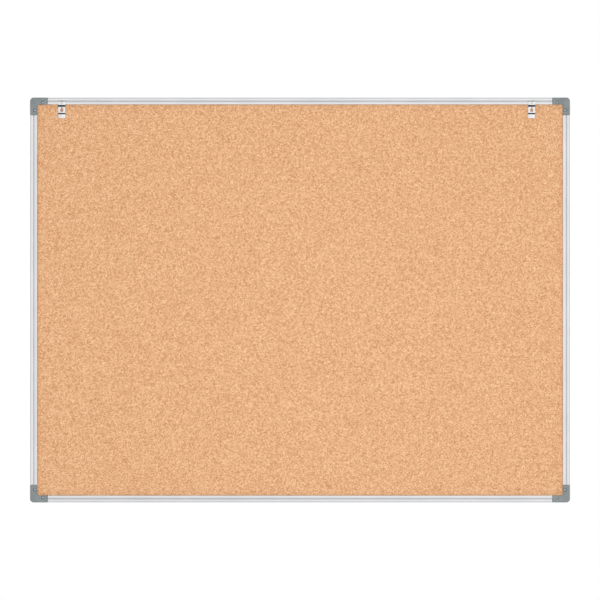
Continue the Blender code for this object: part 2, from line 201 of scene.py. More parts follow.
def soften_long_edges(reach, half_depth, distances, width, segments):
    """Rounds the edges along the rail's faces that lie at these distances from its outer edge."""

    def wanted(edge):
        a, b = (vert.co for vert in edge.verts)
        level = abs(a.z - b.z) < NEAR and abs(a.y - b.y) < NEAR
        on_face = abs(abs(a.y) - half_depth) < NEAR
        return level and on_face and any(abs(reach - a.z - u) < NEAR for u in distances)

    select_only("EDGE", wanted)
    bpy.ops.mesh.bevel(offset=width, segments=segments, affect="EDGES")


def extruded_rail(name, reach, half_length):
    """A rail lying along X, whose outer edge is at this reach above the board's middle."""
    half_depth = rail_high.y
    place = (-half_length, 0, reach - face_width / 2)
    piece = flat_sheet(name, (face_width, 2 * half_depth), place, (0, math.pi / 2, 0))
    cut_section_cells(reach, half_depth)
    bpy.ops.mesh.select_all(action="SELECT")
    extrude(x=2 * half_length)
    bpy.ops.mesh.select_all(action="SELECT")
    bpy.ops.mesh.normals_make_consistent(inside=False)
    soften_long_edges(reach, half_depth, [0], RAIL_OUTER_ROUND, 4)
    soften_long_edges(reach, half_depth, [face_width], RAIL_LIP_ROUND, 3)
    soften_long_edges(reach, half_depth, [WEB_INNER, WEB_INNER + GROOVE_WIDTH], RAIL_ARRIS, 2)
    bpy.ops.object.mode_set(mode="OBJECT")
    return piece


def paint_groove_shade(piece, reach, half_depth, stock):
    """Paints shade on the walls and floor of a rail's two grooves with a darker copy of its aluminium."""
    piece.data.materials.append(stock)
    piece.active_material_index = 1
    bpy.context.view_layer.objects.active = piece
    bpy.ops.object.mode_set(mode="EDIT")

    def inside(face):
        centre = face.calc_center_median()
        u, v = reach - centre.z, half_depth - abs(centre.y)
        return WEB_INNER - NEAR < u < WEB_INNER + GROOVE_WIDTH + NEAR and NEAR < v < GROOVE_DEPTH + NEAR

    select_only("FACE", inside)
    bpy.ops.object.material_slot_assign()
    bpy.ops.object.mode_set(mode="OBJECT")


def anodised_aluminium(name, stretch, codes):
    """Satin anodised aluminium; the stretch draws its die lines out along the rail.

    It gives a soft silver sheen with faint lines along the length and no clear reflections.
    """
    made, tree, shader, place = blank_material(name)
    along = add(tree, "Mapping", {"Vector": place, "Scale": stretch})
    lines = add(tree, "TexNoise", {"Vector": along.outputs[0], "Scale": 1 / DIE_LINE_PITCH, "Detail": 3.0})
    mottle = add(tree, "TexNoise", {"Vector": place, "Scale": 1 / 0.06, "Detail": 2.0})
    shade = add(
        tree, "Mix", {0: 0.35, 2: lines.outputs["Fac"], 3: mottle.outputs["Fac"]}, data_type="FLOAT"
    )
    spread = add(tree, "MapRange", {"Value": shade.outputs[0], "From Min": 0.35, "From Max": 0.65})
    tint = add(
        tree,
        "Mix",
        {0: spread.outputs[0], 6: colour(codes[0]), 7: colour(codes[1])},
        data_type="RGBA",
    )
    rough = add(tree, "MapRange", {"Value": lines.outputs["Fac"], "To Min": 0.30, "To Max": 0.46})
    ribs = add(tree, "Bump", {"Height": lines.outputs["Fac"], "Strength": 0.15, "Distance": 0.02 * MM})
    tree.links.new(tint.outputs[2], shader.inputs["Base Color"])
    tree.links.new(rough.outputs[0], shader.inputs["Roughness"])
    tree.links.new(ribs.outputs[0], shader.inputs["Normal"])
    shader.inputs["Metallic"].default_value = 1.0
    return made


rail_low, rail_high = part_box("rail_top")
_, side_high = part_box("rail_right")
face_width = rail_high.z - rail_low.z
level, upright = (DIE_LINE_LENGTHEN, 1, 1), (1, 1, DIE_LINE_LENGTHEN)
for node, reach, half_length, quarters, stretch in (
    ("rail_top", rail_high.z, rail_high.x, 0, level),
    ("rail_right", side_high.x, side_high.z, 1, upright),
    ("rail_bottom", rail_high.z, rail_high.x, 2, level),
    ("rail_left", side_high.x, side_high.z, 3, upright),
):
    satin = anodised_aluminium(f"{node}_satin_anodised_aluminium", stretch, ("#EBECEE", "#F8F8F9"))
    # The grooves get a darker copy of the aluminium, as painted shade.
    groove_shade_stock = anodised_aluminium(f"{node}_groove_painted_shade_aluminium", stretch, ("#DCDDDF", "#EAEBED"))
    rail = extruded_rail(f"{node}_extrusion", reach, half_length)
    stand_for(rail, node, "board", satin)
    paint_groove_shade(rail, reach, half_depth=rail_high.y, stock=groove_shade_stock)
    turn_about_y(rail, quarters * math.pi / 2)
    smooth_by_angle(rail)


# Corner keys. L-shaped keys of black glass-filled nylon, injection moulded and pushed into the
# rails' chambers through the caps. The fibres give the matt skin a fine grey mottle.

FIBRE_GRAIN = 1.2 * MM

# Moulded glass-filled nylon: near black and matt, with the grey cast of fibres at the skin.
nylon, tree, shader, place = blank_material("moulded_glass_filled_nylon")
fibre = add(tree, "TexNoise", {"Vector": place, "Scale": 1 / FIBRE_GRAIN, "Detail": 4.0})
mix = add(
    tree, "Mix", {0: fibre.outputs["Fac"], 6: colour("#1B1C1E"), 7: colour("#34363A")}, data_type="RGBA"
)
skin = add(tree, "Bump", {"Height": fibre.outputs["Fac"], "Strength": 0.2, "Distance": 0.03 * MM})
tree.links.new(mix.outputs[2], shader.inputs["Base Color"])
tree.links.new(skin.outputs[0], shader.inputs["Normal"])
shader.inputs["Roughness"].default_value = 0.55
for node in nodes:
    if node.startswith("corner_key"):
        dress(nodes[node], nylon)


# Cork face. A sheet of agglomerated cork: granules of 1 to 3 mm pressed and glued in a block, then
# sliced and sanded, so each granule shows its own tan with dark bark specks and seams between.

VISIBLE_MARGIN = 0.4 * MM
RELIEF_CUTS = (14, 19)
RELIEF_HEIGHT = 0.25 * MM
RELIEF_SIZE = 5.0 * MM
LARGE_GRANULE = 2.2 * MM
SMALL_GRANULE = 1.1 * MM
SPECK_SPACING = 3.2 * MM
GRANULE_RAGGEDNESS = 1.4 * MM
SCREW_CLEARANCE = 1.6 * MM
HOLE_SIDES = 24


def cut(piece, cutter, operation="DIFFERENCE"):
    """Changes a piece by a cutter, which is then thrown away."""
    bpy.ops.object.select_all(action="DESELECT")
    piece.select_set(True)
    bpy.context.view_layer.objects.active = piece
    change = piece.modifiers.new("cut", "BOOLEAN")
    change.operation = operation
    change.solver = "EXACT"
    change.object = cutter
    bpy.ops.object.modifier_apply(modifier=change.name)
    bpy.data.objects.remove(cutter, do_unlink=True)


def box_between(low, high):
    """Adds a box between two corners."""
    low, high = Vector(low), Vector(high)
    bpy.ops.mesh.primitive_cube_add(size=1, location=(low + high) / 2)
    bpy.context.object.scale = high - low
    bpy.ops.object.transform_apply(location=True, rotation=True, scale=True)
    return bpy.context.object


def rod_along_y(x, z, radius, front, back):
    """Adds a round rod along Y."""
    bpy.ops.mesh.primitive_cylinder_add(
        vertices=HOLE_SIDES,
        radius=radius,
        depth=back - front,
        location=(x, (front + back) / 2, z),
        rotation=(math.pi / 2, 0, 0),
    )
    bpy.ops.object.transform_apply(location=True, rotation=True, scale=True)
    return bpy.context.object


def centre_of(node):
    """Middle of a CAD node's box."""
    low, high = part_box(node)
    return (low + high) / 2


cork_low, cork_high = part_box("cork_sheet")
cork_face = box_between(cork_low, cork_high)
cork_face.name = cork_face.data.name = "cork_face"
window_x = side_high.x - face_width + VISIBLE_MARGIN
window_z = rail_high.z - face_width + VISIBLE_MARGIN
bpy.ops.object.mode_set(mode="EDIT")
saw((1, 0, 0), -window_x, window_x)
saw((0, 0, 1), -window_z, window_z)
bpy.ops.object.mode_set(mode="OBJECT")
hole_front, hole_back = cork_low.y - 1 * MM, cork_high.y + 1 * MM
for node in nodes:
    if node.startswith("screw"):
        spot = centre_of(node)
        cut(cork_face, rod_along_y(spot.x, spot.z, SCREW_CLEARANCE, hole_front, hole_back))
bpy.ops.object.mode_set(mode="EDIT")


def in_window(face):
    """Whether a face is the part of the cork's front that the rails leave in sight."""
    inside = all(abs(v.co.x) < window_x + NEAR and abs(v.co.z) < window_z + NEAR for v in face.verts)
    return face.normal.y < -0.9 and inside


for cuts in RELIEF_CUTS:
    select_only("FACE", in_window)
    bpy.ops.mesh.subdivide(number_cuts=cuts)
bpy.ops.object.mode_set(mode="OBJECT")
raised = cork_face.vertex_groups.new(name="raised")
inner_x, inner_z = window_x - NEAR, window_z - NEAR
raised.add(
    [
        vert.index
        for vert in cork_face.data.vertices
        if vert.co.y < cork_low.y + NEAR and abs(vert.co.x) < inner_x and abs(vert.co.z) < inner_z
    ],
    1.0,
    "REPLACE",
)
clouds = bpy.data.textures.new("cork_relief", "CLOUDS")
clouds.noise_scale = RELIEF_SIZE
clouds.noise_depth = 1
relief = cork_face.modifiers.new("relief", "DISPLACE")
relief.texture = clouds
relief.texture_coords = "LOCAL"
relief.direction = "Y"
relief.strength = RELIEF_HEIGHT
relief.mid_level = 0.0
relief.vertex_group = "raised"
bpy.ops.object.modifier_apply(modifier="relief")
smooth_by_angle(cork_face)

# Sanded agglomerated cork: a warm tan patchwork of pale and toasted granules with brown seams and
# a few dark bark specks. The outlines wander, as the granules are torn and not cut.
cork, tree, shader, square = blank_material("sanded_agglomerated_cork")
wander = add(tree, "TexNoise", {"Vector": square, "Scale": 1 / GRANULE_RAGGEDNESS, "Detail": 2.0})
centred = add(tree, "VectorMath", {0: wander.outputs["Color"], 1: (0.5, 0.5, 0.5)}, operation="SUBTRACT")
shift = add(tree, "VectorMath", {0: centred.outputs[0], "Scale": 2.0 * MM}, operation="SCALE")
place = add(tree, "VectorMath", {0: square, 1: shift.outputs[0]}, operation="ADD").outputs[0]
large = add(tree, "TexVoronoi", {"Vector": place, "Scale": 1 / LARGE_GRANULE})
small = add(tree, "TexVoronoi", {"Vector": place, "Scale": 1 / SMALL_GRANULE})
seam = add(tree, "TexVoronoi", {"Vector": place, "Scale": 1 / LARGE_GRANULE}, feature="DISTANCE_TO_EDGE")
both = add(tree, "Mix", {0: 0.5, 6: large.outputs["Color"], 7: small.outputs["Color"]}, data_type="RGBA")
tone = add(tree, "SeparateColor", {"Color": both.outputs[2]})
ramp = add(tree, "ValToRGB", {"Fac": tone.outputs[0]})
stops = ramp.color_ramp.elements
stops[0].position, stops[0].color = 0.15, colour("#BD8658")
stops[1].position, stops[1].color = 0.85, colour("#FFD6AE")
for position, code in ((0.35, "#DDA576"), (0.5, "#EAB488"), (0.65, "#F4C297")):
    stops.new(position).color = colour(code)
line = add(
    tree,
    "MapRange",
    {"Value": seam.outputs["Distance"], "From Max": 0.10, "To Min": 0.55, "To Max": 0.0},
)
seamed = add(
    tree, "Mix", {0: line.outputs[0], 6: ramp.outputs[0], 7: colour("#B07A4C")}, data_type="RGBA"
)
bark = add(tree, "TexVoronoi", {"Vector": place, "Scale": 1 / SPECK_SPACING})
near_speck = add(
    tree,
    "MapRange",
    {"Value": bark.outputs["Distance"], "From Min": 0.12, "From Max": 0.3, "To Min": 1.0, "To Max": 0.0},
)
chance = add(tree, "SeparateColor", {"Color": bark.outputs["Color"]})
dark_one = add(tree, "Math", {0: chance.outputs[1], 1: 0.72}, operation="GREATER_THAN")
speck = add(tree, "Math", {0: near_speck.outputs[0], 1: dark_one.outputs[0]}, operation="MULTIPLY")
barky = add(
    tree, "Mix", {0: speck.outputs[0], 6: seamed.outputs[2], 7: colour("#A56F44")}, data_type="RGBA"
)
tree.links.new(barky.outputs[2], shader.inputs["Base Color"])
shader.inputs["Roughness"].default_value = 0.85
shader.inputs["Specular IOR Level"].default_value = 0.3
heights = add(tree, "Math", {0: line.outputs[0], 1: tone.outputs[0]}, operation="SUBTRACT")
bump = add(
    tree, "Bump", {"Height": heights.outputs[0], "Strength": 0.4, "Distance": 0.2 * MM}, invert=True
)
tree.links.new(bump.outputs[0], shader.inputs["Normal"])
stand_for(cork_face, "cork_sheet", "board", cork)


# Core and backing. The core is pressed wood-fibre softboard, which takes the pins; the backing is
# brown hardboard, smooth inside and with the press's wire-screen print on the side that shows.

FIBRE_CLUMP = 1.5 * MM
SCREEN_PITCH = 4.5 * MM

# Pressed softboard: pale straw felt with short brown fibres and a dry, hairy surface.
softboard, tree, shader, place = blank_material("pressed_wood_fibre_softboard")
fibre = add(tree, "TexNoise", {"Vector": place, "Scale": 1 / FIBRE_CLUMP, "Detail": 6.0, "Roughness": 0.7})
mix = add(
    tree, "Mix", {0: fibre.outputs["Fac"], 6: colour("#A98A62"), 7: colour("#CDB48B")}, data_type="RGBA"
)
felt = add(tree, "Bump", {"Height": fibre.outputs["Fac"], "Strength": 0.6, "Distance": 0.3 * MM})
tree.links.new(mix.outputs[2], shader.inputs["Base Color"])
tree.links.new(felt.outputs[0], shader.inputs["Normal"])
shader.inputs["Roughness"].default_value = 0.95
dress(nodes["core_board"], softboard)

# Screen-backed hardboard: mid brown, clouded, with a fine square print and a slight waxy sheen. The
# real print is about 1.2 mm; it is drawn coarser so that it can be seen.
hardboard, tree, shader, place = blank_material("screen_pressed_hardboard")
fibre = add(tree, "TexNoise", {"Vector": place, "Scale": 1 / 0.004, "Detail": 8.0, "Roughness": 0.75})
cloud = add(tree, "TexNoise", {"Vector": place, "Scale": 1 / 0.12, "Detail": 3.0})
shade = add(tree, "Mix", {0: 0.4, 2: fibre.outputs["Fac"], 3: cloud.outputs["Fac"]}, data_type="FLOAT")
spread = add(tree, "MapRange", {"Value": shade.outputs[0], "From Min": 0.35, "From Max": 0.65})
mix = add(
    tree, "Mix", {0: spread.outputs[0], 6: colour("#80573A"), 7: colour("#A67750")}, data_type="RGBA"
)
split = add(tree, "SeparateXYZ", {"Vector": place})
waves = []
for axis in ("X", "Z"):
    turns = add(tree, "Math", {0: split.outputs[axis], 1: math.tau / SCREEN_PITCH}, operation="MULTIPLY")
    waves.append(add(tree, "Math", {0: turns.outputs[0]}, operation="SINE").outputs[0])
weave = add(tree, "Math", {0: waves[0], 1: waves[1]}, operation="MAXIMUM")
dent = add(tree, "Math", {0: weave.outputs[0], 1: fibre.outputs["Fac"]}, operation="ADD")
print_bump = add(tree, "Bump", {"Height": dent.outputs[0], "Strength": 0.5, "Distance": 0.12 * MM})
tree.links.new(mix.outputs[2], shader.inputs["Base Color"])
tree.links.new(print_bump.outputs[0], shader.inputs["Normal"])
shader.inputs["Roughness"].default_value = 0.62
dress(nodes["backing_sheet"], hardboard)


# Corner caps. Injection-moulded grey ABS, hollow behind a 2.2 mm skin, with a chamber for the key,
# a slot for the panel and a counterbored boss for each screw. The mould's spark-eroded faces give
# an even fine-grained satin skin, its two halves leave a hairline, and the edges come out soft.

CAP_LEG = 39.0 * MM
CAP_WIDTH = 15.5 * MM
CAP_SKIN = 2.2 * MM
CAP_CORNER_ROUND = 8.0 * MM
CAP_INNER_ROUND = 2.5 * MM
CAP_EDGE_ROUND = 0.6 * MM
LIP_WALL = 1.2 * MM
PAST = 1.0 * MM
CHAMBER_NEAR = 1.7 * MM
CHAMBER_FAR = 6.1 * MM
SLOT_NEAR = 7.0 * MM
COUNTERBORE_RADIUS = 3.4 * MM
COUNTERBORE_DEPTH = 3.2 * MM
COUNTERBORE_ARRIS = 0.2 * MM
BOSS_WALL = 1.2 * MM
PARTING_HALF_WIDTH = 0.12 * MM
PARTING_DEPTH = 0.08 * MM
SPARK_GRAIN = 0.7 * MM


def corner_block(name, near, far, end, outer_round, inner_round, front, back):
    """An L-shaped block whose legs lie between two distances from a corner at the origin."""
    middle = (near + end) / 2
    piece = flat_sheet(name, (end - near, end - near), (middle, front, -middle), (math.pi / 2, 0, 0))
    saw((1, 0, 0), far)
    saw((0, 0, 1), -far)
    select_only("FACE", lambda f: f.calc_center_median().x > far and f.calc_center_median().z < -far)
    bpy.ops.mesh.delete(type="FACE")
    bpy.ops.mesh.select_all(action="SELECT")
    bpy.ops.mesh.dissolve_limited(angle_limit=math.radians(1))
    for distance, radius, segments in ((near, outer_round, 10), (far, inner_round, 6)):
        if radius:
            place = Vector((distance, front, -distance))
            select_only("VERT", lambda vert: (vert.co - place).length < NEAR)
            bpy.ops.mesh.bevel(offset=radius, segments=segments, affect="VERTICES")
    bpy.ops.mesh.select_all(action="SELECT")
    extrude(y=back - front)
    bpy.ops.mesh.select_all(action="SELECT")
    bpy.ops.mesh.normals_make_consistent(inside=False)
    bpy.ops.object.mode_set(mode="OBJECT")
    return piece


cap_low, cap_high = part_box("corner_cap_top_left")
cap_front, cap_back = cap_low.y, cap_high.y
slot_half = rail_high.y - LIP_DEPTH
chamber_half = rail_high.y - RAIL_WALL
corner_spot = Vector((cap_low.x, 0, cap_high.z))
screw_spots = [centre_of(f"screw_top_left_{leg}") - corner_spot for leg in ("level", "upright")]

cap = corner_block(
    "corner_cap", 0, CAP_WIDTH, CAP_LEG, CAP_CORNER_ROUND, CAP_INNER_ROUND, cap_front, cap_back
)
bpy.ops.object.mode_set(mode="EDIT")
select_only("EDGE", lambda edge: edge.calc_face_angle() > math.radians(60))
bpy.ops.mesh.bevel(offset=CAP_EDGE_ROUND, segments=3, affect="EDGES")
saw((0, 1, 0), -PARTING_HALF_WIDTH, PARTING_HALF_WIDTH)
select_only("FACE", lambda face: abs(face.calc_center_median().y) < PARTING_HALF_WIDTH)
bpy.ops.mesh.extrude_region_shrink_fatten(TRANSFORM_OT_shrink_fatten={"value": -PARTING_DEPTH})
bpy.ops.object.mode_set(mode="OBJECT")

cut(
    cap,
    corner_block(
        "chamber",
        CHAMBER_NEAR,
        CHAMBER_FAR,
        CAP_LEG + PAST,
        CAP_CORNER_ROUND - CHAMBER_NEAR,
        0,
        -chamber_half,
        chamber_half,
    ),
)
end = CAP_LEG + PAST
cut(cap, box_between((SLOT_NEAR, -slot_half, -end), (end, slot_half, -SLOT_NEAR)))
for low_y, high_y, boss in (
    (cap_front + CAP_SKIN, PAST - slot_half, COUNTERBORE_RADIUS + BOSS_WALL),
    (slot_half - PAST, cap_back - CAP_SKIN, SCREW_CLEARANCE + BOSS_WALL),
):
    hollow_far = CAP_WIDTH - LIP_WALL
    hollow = corner_block(
        "hollow", SLOT_NEAR, hollow_far, end, 0, CAP_INNER_ROUND + LIP_WALL, low_y, high_y
    )
    for spot in screw_spots:
        cut(hollow, rod_along_y(spot.x, spot.z, boss, low_y - PAST, high_y + PAST))
    cut(cap, hollow)
screw_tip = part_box("screw_top_left_level")[1].y
for spot in screw_spots:
    cut(cap, rod_along_y(spot.x, spot.z, SCREW_CLEARANCE, cap_front, screw_tip + 0.3 * MM))
    seat = cap_front + COUNTERBORE_DEPTH
    cut(cap, rod_along_y(spot.x, spot.z, COUNTERBORE_RADIUS, cap_front - PAST, seat))
bpy.ops.object.mode_set(mode="EDIT")


def on_counterbore_mouth(edge):
    """Whether an edge is part of the round mouth of a counterbore."""

    def on_rim(place):
        reaches = [math.hypot(place.x - spot.x, place.z - spot.z) for spot in screw_spots]
        return any(abs(reach - COUNTERBORE_RADIUS) < NEAR for reach in reaches)

    return all(abs(vert.co.y - cap_front) < NEAR and on_rim(vert.co) for vert in edge.verts)


select_only("EDGE", on_counterbore_mouth)
bpy.ops.mesh.bevel(offset=COUNTERBORE_ARRIS, segments=2, affect="EDGES")
bpy.ops.mesh.select_all(action="SELECT")
bpy.ops.mesh.dissolve_degenerate(threshold=0.5 * NEAR)
bpy.ops.object.mode_set(mode="OBJECT")

# Spark-textured ABS: cool mid grey, fine-grained, with soft broad highlights along its rounded edges.
abs_plastic, tree, shader, place = blank_material("spark_textured_grey_abs")
spark = add(tree, "TexNoise", {"Vector": place, "Scale": 1 / SPARK_GRAIN, "Detail": 3.0})
flow = add(tree, "TexNoise", {"Vector": place, "Scale": 1 / 0.02, "Detail": 2.0})
shade = add(tree, "Mix", {0: 0.5, 2: spark.outputs["Fac"], 3: flow.outputs["Fac"]}, data_type="FLOAT")
spread = add(tree, "MapRange", {"Value": shade.outputs[0], "From Min": 0.35, "From Max": 0.65})
mix = add(
    tree, "Mix", {0: spread.outputs[0], 6: colour("#7A8182"), 7: colour("#8C9394")}, data_type="RGBA"
)
grain = add(tree, "Bump", {"Height": spark.outputs["Fac"], "Strength": 0.35, "Distance": 0.05 * MM})
tree.links.new(mix.outputs[2], shader.inputs["Base Color"])
tree.links.new(grain.outputs[0], shader.inputs["Normal"])
shader.inputs["Roughness"].default_value = 0.45
shader.inputs["IOR"].default_value = 1.53


def copy_of(piece, name):
    """A copy of a piece with its own mesh."""
    made = piece.copy()
    made.data = piece.data.copy()
    made.name = made.data.name = name
    bpy.context.scene.collection.objects.link(made)
    return made


CORNERS = {"top_left": 0, "top_right": 1, "bottom_right": 2, "bottom_left": 3}
for corner, quarters in CORNERS.items():
    low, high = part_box(f"corner_cap_{corner}")
    place = (math.copysign(high.x if high.x > 0 else low.x, low.x), 0, high.z if high.z > 0 else low.z)
    made = copy_of(cap, f"{corner}_cap_moulding")
    turn_about_y(made, quarters * math.pi / 2, place)
    smooth_by_angle(made)
    stand_for(made, f"corner_cap_{corner}", "board", abs_plastic)
bpy.data.objects.remove(cap, do_unlink=True)


# Cap screws. Zinc-plated steel pan-head screws for plastics, cold headed with a cross recess and
# thread rolled. Each sits in its counterbore, goes through the panel and bites in the back boss.

HEAD_RADIUS = 2.6 * MM
HEAD_DOME = ((2.45, 0.40), (1.95, 0.65), (1.2, 0.77), (0.5, 0.80))
HEAD_RIM = 1.2 * MM
SHANK_RADIUS = 1.25 * MM
THREAD_RADIUS = 1.5 * MM
THREAD_PITCH = 1.1 * MM
THREAD_STEPS = 16
POINT_LENGTH = 1.6 * MM
RECESS_WIDTH = 0.8 * MM
RECESS_REACH = 1.5 * MM
RECESS_DEPTH = 1.3 * MM

screw_low, screw_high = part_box("screw_top_left_level")
screw_length = screw_high.y - screw_low.y
under_head = HEAD_RIM + HEAD_DOME[-1][1] * MM
bpy.ops.mesh.primitive_circle_add(
    vertices=HOLE_SIDES,
    radius=HEAD_RADIUS,
    fill_type="NGON",
    location=(0, under_head, 0),
    rotation=(math.pi / 2, 0, 0),
)
bpy.ops.object.transform_apply(location=True, rotation=True, scale=True)
screw = bpy.context.object
screw.name = screw.data.name = "cap_screw"


def shrink(factor):
    """In edit mode, draws what is selected in towards the Y axis."""
    bpy.ops.transform.resize(value=(factor, 1, factor), center_override=(0, 0, 0))


bpy.ops.object.mode_set(mode="EDIT")
bpy.ops.mesh.select_all(action="SELECT")
extrude(y=-HEAD_RIM)
radius, rise = HEAD_RADIUS, 0.0
for next_radius, next_rise in HEAD_DOME:
    extrude(y=(rise - next_rise) * MM)
    shrink(next_radius * MM / radius)
    radius, rise = next_radius * MM, next_rise
select_only(
    "FACE", lambda face: len(face.verts) > 4 and abs(face.calc_center_median().y - under_head) < NEAR
)
bpy.ops.mesh.inset(thickness=HEAD_RADIUS - SHANK_RADIUS)
extrude(y=screw_length - under_head - POINT_LENGTH)
extrude(y=POINT_LENGTH)
shrink(0.25)
bpy.ops.mesh.select_all(action="SELECT")
bpy.ops.mesh.normals_make_consistent(inside=False)
bpy.ops.object.mode_set(mode="OBJECT")

for half_x, half_z in ((RECESS_WIDTH / 2, RECESS_REACH), (RECESS_REACH, RECESS_WIDTH / 2)):
    wing = box_between((-half_x, -PAST, -half_z), (half_x, RECESS_DEPTH, half_z))
    bpy.ops.object.mode_set(mode="EDIT")
    select_only("FACE", lambda face: face.normal.y > 0.9)
    bpy.ops.transform.resize(value=(0.5, 1, 0.5), center_override=(0, RECESS_DEPTH, 0))
    bpy.ops.object.mode_set(mode="OBJECT")
    cut(screw, wing)

thread_start = under_head + THREAD_PITCH
thread_turns = int((screw_length - under_head - POINT_LENGTH) / THREAD_PITCH) - 2
bpy.ops.mesh.primitive_circle_add(vertices=3, radius=0.35 * MM, location=(THREAD_RADIUS - 0.35 * MM, 0, 0))
thread = bpy.context.object
bpy.ops.object.mode_set(mode="EDIT")
bpy.ops.mesh.select_all(action="SELECT")
bpy.ops.transform.rotate(value=math.pi / 2, orient_axis="Z", center_override=tuple(thread.location))
bpy.ops.object.mode_set(mode="OBJECT")
thread.location.y = thread_start
bpy.ops.object.transform_apply(location=True, rotation=True, scale=True)
coil = thread.modifiers.new("coil", "SCREW")
coil.axis = "Y"
coil.steps = coil.render_steps = THREAD_STEPS
coil.screw_offset = THREAD_PITCH
coil.iterations = thread_turns
bpy.ops.object.modifier_apply(modifier="coil")
bpy.ops.object.mode_set(mode="EDIT")
bpy.ops.mesh.select_all(action="SELECT")
bpy.ops.mesh.fill_holes(sides=4)
bpy.ops.mesh.select_all(action="SELECT")
bpy.ops.mesh.normals_make_consistent(inside=False)
bpy.ops.object.mode_set(mode="OBJECT")
cut(screw, thread, "UNION")

# Barrel-plated zinc: a bright bluish silver dome, slightly clouded, that stands out in its dark well.
zinc, tree, shader, place = blank_material("barrel_zinc_plated_steel")
plating = add(tree, "TexNoise", {"Vector": place, "Scale": 1 / (1.0 * MM), "Detail": 4.0})
mix = add(
    tree, "Mix", {0: plating.outputs["Fac"], 6: colour("#B9BEC4"), 7: colour("#DCDFE2")}, data_type="RGBA"
)
rough = add(tree, "MapRange", {"Value": plating.outputs["Fac"], "To Min": 0.18, "To Max": 0.38})
tree.links.new(mix.outputs[2], shader.inputs["Base Color"])
tree.links.new(rough.outputs[0], shader.inputs["Roughness"])
shader.inputs["Metallic"].default_value = 1.0
for node in nodes:
    if node.startswith("screw"):
        spot = centre_of(node)
        made = copy_of(screw, f"{node}_fastener")
        turn_about_y(made, 0, (spot.x, screw_low.y, spot.z))
        smooth_by_angle(made, 35)
        stand_for(made, node, "board", zinc)
bpy.data.objects.remove(screw, do_unlink=True)


# Keyhole hangers. Blanked and bent from 1 mm steel strip, nickel plated bright. The slit top bends
# into two prongs that snap in the rail's groove; the strip steps down to a plate with the keyhole
# and on to a tongue that lies by the cork. Stamping leaves slightly rolled edges.

STRIP = 1.0 * MM
STRIP_HALF_WIDTH = 8.0 * MM
PRONG_TO_SADDLE = 3.3 * MM
STRIP_RUNS = ((0, -8.3), (2.2, -4.5), (0, -13.4), (2.1, -2.7), (0, -8.8))
SNAP_BEND = 1.3 * MM
STEP_BEND = 0.3 * MM
TONGUE_ROUND = 2.0 * MM
SLIT_HALF = 0.7 * MM
RELIEF_RADIUS = 1.4 * MM
RELIEF_DROP = 4.8 * MM
KEYHOLE_DROP = 20.4 * MM
KEYHOLE_RADIUS = 3.5 * MM
KEYHOLE_SLOT_RADIUS = 1.8 * MM
KEYHOLE_REACH = 5.0 * MM
ROLLED_EDGE = 0.12 * MM
RELIEF_DRAWN_IN = 0.6 * MM

clip_low, clip_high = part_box("hanger_clip_left")
groove_z = clip_high.z - STRIP / 2
prong_front = clip_low.y + STRIP / 2
hanger = flat_sheet(
    "keyhole_hanger",
    (2 * STRIP_HALF_WIDTH, PRONG_TO_SADDLE),
    (0, prong_front + PRONG_TO_SADDLE / 2, groove_z),
    (0, 0, 0),
)
select_only("EDGE", lambda edge: all(abs(vert.co.y - prong_front) < NEAR for vert in edge.verts))
for back, down in STRIP_RUNS:
    extrude(y=back * MM, z=down * MM)


def is_bend(edge):
    """Whether an edge is one of the folds across the strip."""
    return len(edge.link_faces) == 2


select_only("EDGE", lambda edge: is_bend(edge) and all(v.co.z > groove_z - NEAR for v in edge.verts))
bpy.ops.mesh.bevel(offset=SNAP_BEND, segments=6, affect="EDGES")
select_only("EDGE", lambda edge: is_bend(edge) and all(v.co.z < groove_z - 2 * MM for v in edge.verts))
bpy.ops.mesh.bevel(offset=STEP_BEND, segments=4, affect="EDGES")
bpy.ops.mesh.select_all(action="SELECT")
bpy.ops.mesh.normals_make_consistent(inside=False)
bpy.ops.object.mode_set(mode="OBJECT")
wall = hanger.modifiers.new("wall", "SOLIDIFY")
wall.thickness = STRIP
wall.offset = 0.0
wall.use_even_offset = True
bpy.ops.object.modifier_apply(modifier="wall")
tongue_end = groove_z + sum(down for _, down in STRIP_RUNS) * MM
bpy.ops.object.mode_set(mode="EDIT")


def on_tongue_corner(edge):
    """Whether an edge goes through the strip at a lower corner of the tongue."""
    a, b = (vert.co for vert in edge.verts)
    return abs(a.z - tongue_end) < NEAR and abs(b.z - tongue_end) < NEAR and abs(a.x - b.x) < NEAR


select_only("EDGE", on_tongue_corner)
bpy.ops.mesh.bevel(offset=TONGUE_ROUND, segments=6, affect="EDGES")
bpy.ops.object.mode_set(mode="OBJECT")
front, back = clip_low.y - PAST, clip_high.y + PAST
slot_z, hole_z = groove_z - KEYHOLE_DROP + KEYHOLE_REACH, groove_z - KEYHOLE_DROP
relief_z = groove_z - RELIEF_DROP
cut(hanger, rod_along_y(0, hole_z, KEYHOLE_RADIUS, front, back))
cut(hanger, rod_along_y(0, slot_z, KEYHOLE_SLOT_RADIUS, front, back))
cut(hanger, box_between((-KEYHOLE_SLOT_RADIUS, front, hole_z), (KEYHOLE_SLOT_RADIUS, back, slot_z)))
cut(hanger, rod_along_y(0, relief_z, RELIEF_RADIUS, front, back))
cut(hanger, box_between((-SLIT_HALF, front, relief_z), (SLIT_HALF, back, groove_z + PAST)))
saddle_front = clip_low.y
bpy.ops.object.mode_set(mode="EDIT")


def on_relief_mouth(edge):
    """Whether an edge is part of the relief hole's mouth on the saddle's front."""
    return all(
        abs(vert.co.y - saddle_front) < NEAR
        and abs(math.hypot(vert.co.x, vert.co.z - relief_z) - RELIEF_RADIUS) < NEAR
        for vert in edge.verts
    )


